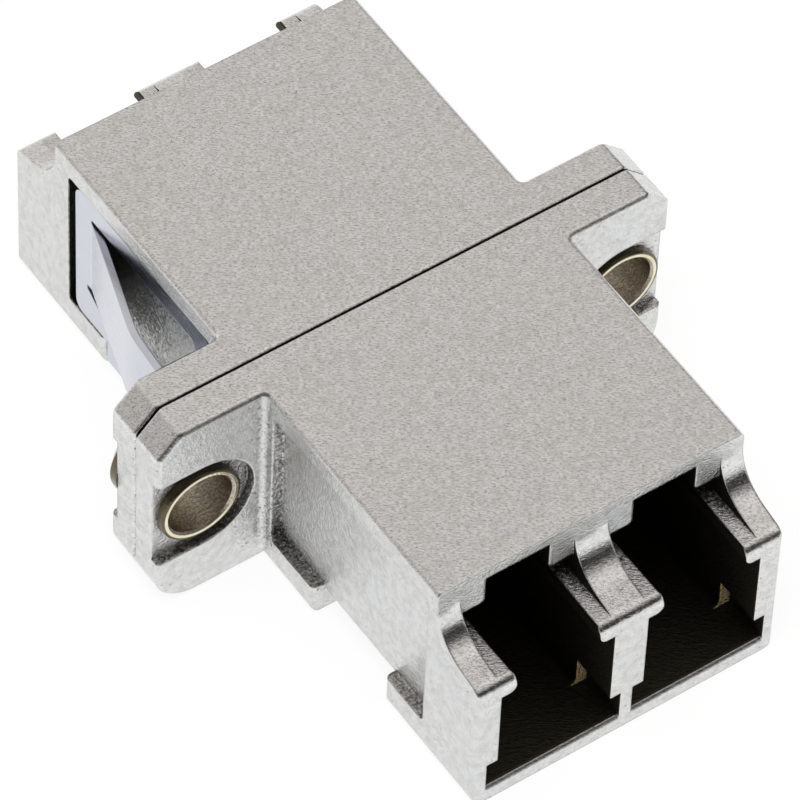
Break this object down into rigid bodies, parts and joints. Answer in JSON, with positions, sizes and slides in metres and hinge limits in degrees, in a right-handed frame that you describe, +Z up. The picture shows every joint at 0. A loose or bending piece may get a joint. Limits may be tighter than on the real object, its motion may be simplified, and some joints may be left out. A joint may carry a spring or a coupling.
{
  "type": "fibre optic adapter",
  "caption": "All-metal flanged duplex fibre optic adapter with push-in plug ports at both ends, riveted flange and a spring clip for a panel cut-out.",
  "frame": {"origin": "in the seam between the two flange plates, on the centre line, at the level of the underside", "axes": "+X along the flange towards the right rivet seen from the front, +Y from the front mouth to the rear mouth, +Z up to the flat top"},
  "size_m": [0.022, 0.0296, 0.0094],
  "materials": {
    "cast_shell": "nickel-plated zinc casting, satin with a fine grain on top, smoother on the sides",
    "rivet_metal": "pale nickel-plated brass",
    "clip_steel": "smooth bright spring steel",
    "holder_plastic": "matte black",
    "sleeve_ceramic": "polished white zirconia"
  },
  "bodies": {
    "root": {"front_housing": "cast_shell", "rear_housing": "cast_shell", "front_sleeve_holder": "holder_plastic", "rear_sleeve_holder": "holder_plastic", "left_alignment_sleeve": "sleeve_ceramic", "right_alignment_sleeve": "sleeve_ceramic", "left_rivet": "rivet_metal", "right_rivet": "rivet_metal", "mounting_clip": "clip_steel"}
  },
  "joints": []
}
